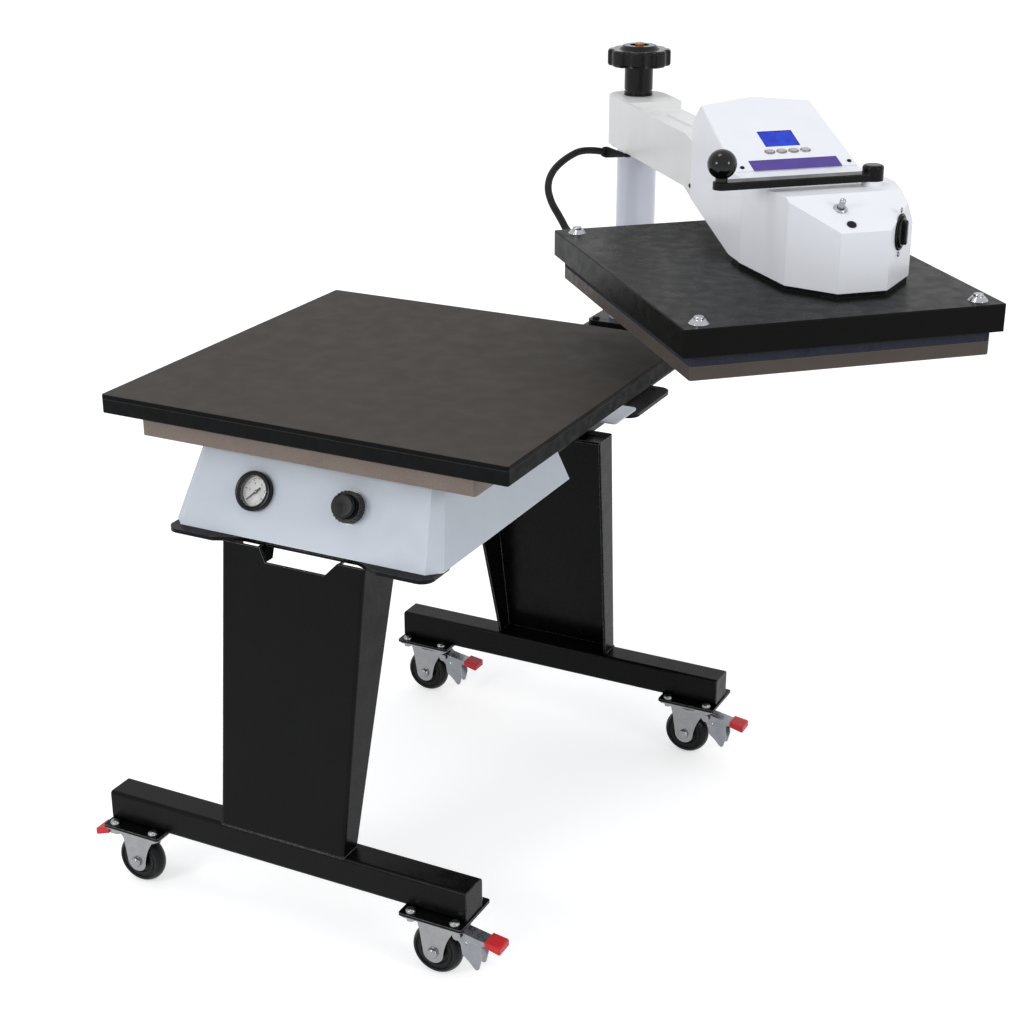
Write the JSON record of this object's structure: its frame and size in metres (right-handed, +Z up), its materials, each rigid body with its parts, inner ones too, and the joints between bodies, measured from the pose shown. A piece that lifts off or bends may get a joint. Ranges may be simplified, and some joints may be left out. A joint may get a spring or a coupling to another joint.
{
  "type": "swing-away heat press",
  "caption": "Swing-away heat press on a wheeled stand: a padded lower table, and a heated platen with a control housing on a swinging arm.",
  "frame": {"origin": "on the floor, under the middle of the whole machine's box, with the heated head swung out to the right", "axes": "+Z up; -Y is the operator's side, where the gauge and the regulator are; +X is the operator's right"},
  "size_m": [1.1428, 1.1335, 1.098],
  "materials": {
    "stand_black": "satin powder coat",
    "base_black": "satin powder coat",
    "frame_two_tone": "satin powder coat, with a light grey plate across",
    "skirt_grey": "satin powder coat",
    "zinc": "bright zinc plating",
    "tyre_black": "smooth rubber",
    "brake_red": "zinc lever with a red cap",
    "chrome": "polished",
    "dial_white": "printed dial",
    "needle_black": "matt",
    "knob_black": "polished",
    "rod_steel": "ground",
    "rod_bronze": "turned",
    "column_grey": "gloss enamel",
    "board_taupe": "sealed board",
    "plate_black": "black anodised, fine texture",
    "pad_dark": "silicone pad, matt",
    "arm_white": "satin powder coat",
    "housing_white": "satin powder coat",
    "screen_blue": "backlit display",
    "button_grey": "satin",
    "handle_black": "satin powder coat",
    "ball_black": "polished",
    "switch_black": "satin moulding",
    "cover_dark": "satin enamel",
    "insulation_blue": "fibre board in dark cloth",
    "platen_taupe": "coated, satin",
    "cable_black": "matt jacket",
    "brass_fitting": "turned"
  },
  "bodies": {
    "stand": {"front_foot_tube": "stand_black", "rear_foot_tube": "stand_black", "front_pedestal": "stand_black", "rear_pedestal": "stand_black", "caster_mount_plates": "stand_black", "caster_top_plates": "zinc", "caster_bolts": "zinc", "front_frame_plate": "base_black", "rear_frame_plate": "frame_two_tone", "rear_base_foot": "base_black", "base_skirt": "skirt_grey", "gauge_case": "knob_black", "gauge_dial": "dial_white", "regulator_body": "rod_steel", "air_cylinder": "rod_steel", "column_base_plate": "base_black", "column": "column_grey", "threaded_rod": "rod_bronze", "air_inlet_fitting": "brass_fitting"},
    "table": {"piston_rod": "rod_steel", "guide_rods": "rod_steel", "lower_board": "board_taupe", "table_plate": "plate_black", "table_pad": "pad_dark"},
    "gauge_pointer": {"gauge_needle": "needle_black"},
    "regulator": {"regulator_knob": "knob_black"},
    "carriage": {"carriage_sleeve": "rod_steel"},
    "adjuster": {"star_knob": "knob_black"},
    "head": {"arm": "arm_white", "housing_shell": "housing_white", "housing_base": "base_black", "control_panel": "housing_white", "lcd_screen": "screen_blue", "heater_cover": "cover_dark", "insulation_board": "insulation_blue", "heat_platen": "platen_taupe", "cover_bolts": "chrome", "heater_cable": "cable_black", "cable_sleeve": "cable_black", "cable_gland": "knob_black"},
    "handle": {"handle_bar": "handle_black", "handle_ball": "ball_black"},
    "power_rocker": {"power_switch": "switch_black"},
    "toggle": {"toggle_switch": "chrome"},
    "button_1": {"display_button_1": "button_grey"},
    "button_2": {"display_button_2": "button_grey"},
    "button_3": {"display_button_3": "button_grey"},
    "button_4": {"display_button_4": "button_grey"},
    "fork_front_left": {"caster_fork_front_left": "zinc"},
    "wheel_front_left": {"caster_wheel_front_left": "tyre_black"},
    "brake_front_left": {"brake_pedal_front_left": "brake_red"},
    "fork_front_right": {"caster_fork_front_right": "zinc"},
    "wheel_front_right": {"caster_wheel_front_right": "tyre_black"},
    "brake_front_right": {"brake_pedal_front_right": "brake_red"},
    "fork_rear_left": {"caster_fork_rear_left": "zinc"},
    "wheel_rear_left": {"caster_wheel_rear_left": "tyre_black"},
    "brake_rear_left": {"brake_pedal_rear_left": "brake_red"},
    "fork_rear_right": {"caster_fork_rear_right": "zinc"},
    "wheel_rear_right": {"caster_wheel_rear_right": "tyre_black"},
    "brake_rear_right": {"brake_pedal_rear_right": "brake_red"}
  },
  "joints": [
    {"name": "table_lift", "type": "slide", "parent": "stand", "child": "table", "axis": [0, 0, 1], "range_m": [0, 0.072]},
    {"name": "regulator_turn", "type": "hinge", "parent": "stand", "child": "regulator", "pos_m": [-0.176, -0.44155, 0.617], "axis": [0, -0.8977, 0.4407], "range_deg": [-540, 0]},
    {"name": "gauge_pointer_turn", "type": "hinge", "parent": "stand", "child": "gauge_pointer", "pos_m": [-0.326, -0.44302, 0.614], "axis": [0, -0.8977, 0.4407], "range_deg": [-270.5, 0.5]},
    {"name": "height_screw_turn", "type": "hinge", "parent": "carriage", "child": "adjuster", "pos_m": [-0.187, 0.507, 1.05], "axis": [0, 0, 1], "range_deg": [-2161, 721]},
    {"name": "carriage_slide", "type": "slide", "parent": "stand", "child": "carriage", "axis": [0, 0, 1], "range_m": [-0.024, 0.008]},
    {"name": "head_swing", "type": "hinge", "parent": "carriage", "child": "head", "pos_m": [-0.187, 0.507, 0.97], "axis": [0, 0, 1], "range_deg": [-42.7, 47.3]},
    {"name": "handle_turn", "type": "hinge", "parent": "head", "child": "handle", "pos_m": [0.36453, -0.00725, 1.025], "axis": [0, 0, 1], "range_deg": [0, 150]},
    {"name": "power_rocker_tilt", "type": "hinge", "parent": "head", "child": "power_rocker", "pos_m": [0.42169, -0.0654, 0.9695], "axis": [0.0393, 0.9992, 0], "range_deg": [-7, 7]},
    {"name": "toggle_tilt", "type": "hinge", "parent": "head", "child": "toggle", "pos_m": [0.35394, -0.10555, 1.00042], "axis": [0.7344, 0.6787, 0], "range_deg": [-12, 12]},
    {"name": "button_1_press", "type": "slide", "parent": "head", "child": "button_1", "axis": [-0.2574, 0.2785, -0.9253], "range_m": [0, 0.0015], "stiffness_N_per_m": 400, "springref_m": -0.0005},
    {"name": "button_2_press", "type": "slide", "parent": "head", "child": "button_2", "axis": [-0.2574, 0.2785, -0.9253], "range_m": [0, 0.0015], "stiffness_N_per_m": 400, "springref_m": -0.0005},
    {"name": "button_3_press", "type": "slide", "parent": "head", "child": "button_3", "axis": [-0.2574, 0.2785, -0.9253], "range_m": [0, 0.0015], "stiffness_N_per_m": 400, "springref_m": -0.0005},
    {"name": "button_4_press", "type": "slide", "parent": "head", "child": "button_4", "axis": [-0.2574, 0.2785, -0.9253], "range_m": [0, 0.0015], "stiffness_N_per_m": 400, "springref_m": -0.0005},
    {"name": "swivel_front_left", "type": "hinge", "parent": "stand", "child": "fork_front_left", "pos_m": [-0.4905, -0.5245, 0.09], "axis": [0, 0, 1], "continuous": true},
    {"name": "roll_front_left", "type": "hinge", "parent": "fork_front_left", "child": "wheel_front_left", "pos_m": [-0.5045, -0.5245, 0.037], "axis": [0, 1, 0], "continuous": true},
    {"name": "brake_press_front_left", "type": "hinge", "parent": "fork_front_left", "child": "brake_front_left", "pos_m": [-0.5245, -0.5245, 0.079], "axis": [0, -1, 0], "range_deg": [0, 8]},
    {"name": "swivel_front_right", "type": "hinge", "parent": "stand", "child": "fork_front_right", "pos_m": [-0.0005, -0.5245, 0.09], "axis": [0, 0, 1], "continuous": true},
    {"name": "roll_front_right", "type": "hinge", "parent": "fork_front_right", "child": "wheel_front_right", "pos_m": [-0.0105, -0.5245, 0.037], "axis": [0, 1, 0], "continuous": true},
    {"name": "brake_press_front_right", "type": "hinge", "parent": "fork_front_right", "child": "brake_front_right", "pos_m": [0.0255, -0.5245, 0.074], "axis": [0, 1, 0], "range_deg": [0, 8]},
    {"name": "swivel_rear_left", "type": "hinge", "parent": "stand", "child": "fork_rear_left", "pos_m": [-0.4165, 0.1925, 0.09], "axis": [0, 0, 1], "continuous": true},
    {"name": "roll_rear_left", "type": "hinge", "parent": "fork_rear_left", "child": "wheel_rear_left", "pos_m": [-0.4265, 0.1925, 0.037], "axis": [0, 1, 0], "continuous": true},
    {"name": "brake_press_rear_left", "type": "hinge", "parent": "fork_rear_left", "child": "brake_rear_left", "pos_m": [-0.3905, 0.1925, 0.074], "axis": [0, 1, 0], "range_deg": [0, 8]},
    {"name": "swivel_rear_right", "type": "hinge", "parent": "stand", "child": "fork_rear_right", "pos_m": [0.0735, 0.1925, 0.09], "axis": [0, 0, 1], "continuous": true},
    {"name": "roll_rear_right", "type": "hinge", "parent": "fork_rear_right", "child": "wheel_rear_right", "pos_m": [0.0635, 0.1925, 0.037], "axis": [0, 1, 0], "continuous": true},
    {"name": "brake_press_rear_right", "type": "hinge", "parent": "fork_rear_right", "child": "brake_rear_right", "pos_m": [0.0995, 0.1925, 0.074], "axis": [0, 1, 0], "range_deg": [0, 8]}
  ],
  "couplings": [
    {"joint": "height_screw_turn", "follows": "carriage_slide", "rad_per_m": 1570.8},
    {"joint": "gauge_pointer_turn", "follows": "regulator_turn", "ratio": 0.5}
  ]
}
